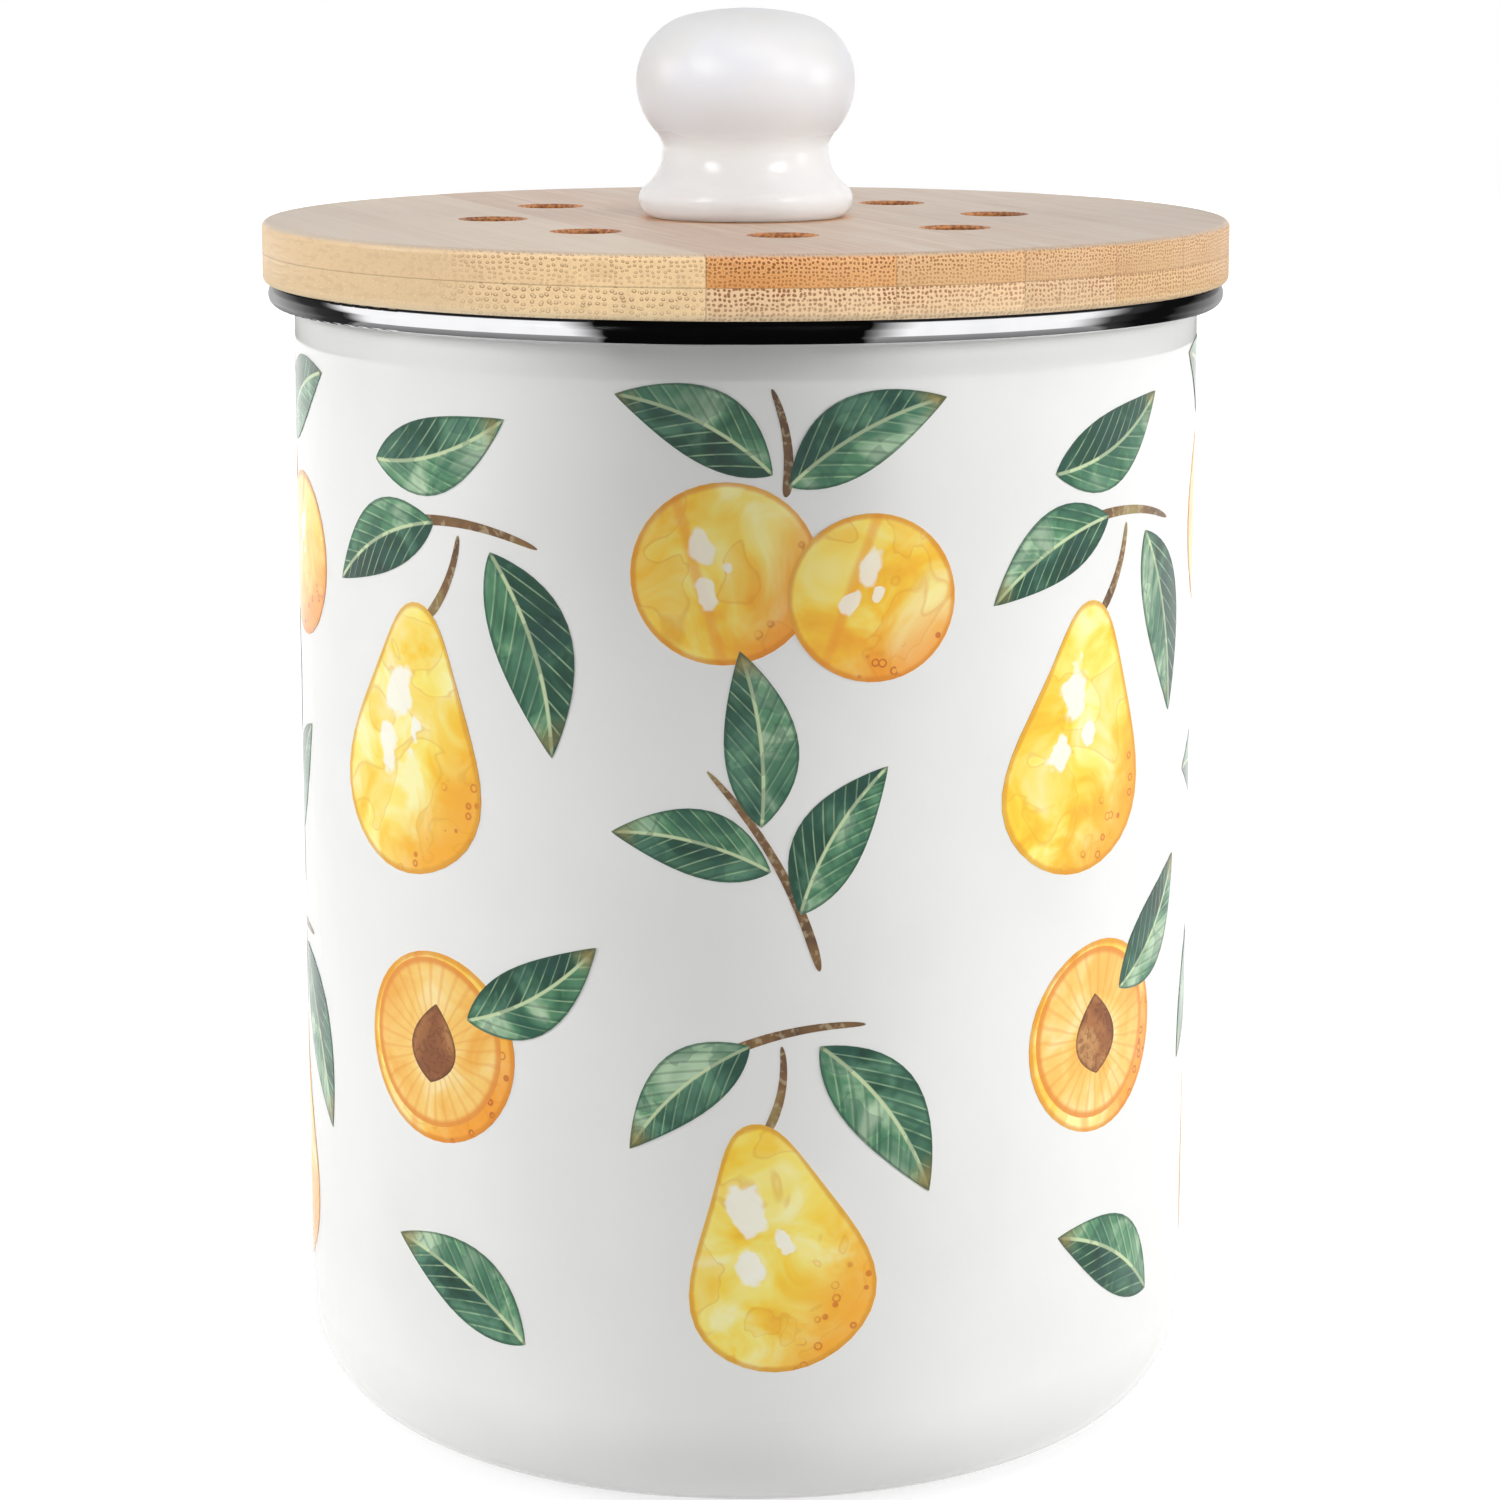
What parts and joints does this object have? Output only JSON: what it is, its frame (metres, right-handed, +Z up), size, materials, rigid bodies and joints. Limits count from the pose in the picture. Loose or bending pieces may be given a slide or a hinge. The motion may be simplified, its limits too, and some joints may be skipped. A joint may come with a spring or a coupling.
{
  "type": "food waste caddy",
  "caption": "Round enamelled steel kitchen caddy with a rolled steel rim and a lift-off vented bamboo lid with a carbon filter and a porcelain knob.",
  "frame": {"origin": "centre of the foot ring on the surface that the caddy stands on", "axes": "+Z up along the canister's axis, -Y towards the viewer of the picture, +X to the viewer's right"},
  "size_m": [0.15, 0.15, 0.2215],
  "materials": {
    "white_enamel": "gloss vitreous enamel with a fired colour print",
    "polished_steel": "mirror polished stainless steel",
    "bamboo": "sanded and oiled, satin",
    "silicone": "soft translucent white",
    "carbon_felt": "open charcoal felt",
    "brushed_steel": "brushed stainless steel",
    "screw_steel": "zinc plated steel",
    "porcelain": "gloss white glaze",
    "brass": "machined"
  },
  "bodies": {
    "canister": {"canister_shell": "white_enamel", "rim_band": "polished_steel"},
    "lid": {"lid_upper_ply": "bamboo", "lid_lower_ply": "bamboo", "lid_plug": "bamboo", "seal_ring": "silicone", "filter_pad": "carbon_felt", "filter_cover": "brushed_steel", "filter_screws": "screw_steel", "knob": "porcelain", "knob_insert": "brass", "knob_washer": "screw_steel", "knob_screw": "screw_steel"}
  },
  "joints": [
    {"name": "lid_lift", "type": "slide", "parent": "canister", "child": "lid", "axis": [0, 0, 1], "range_m": [0, 0.12]}
  ]
}
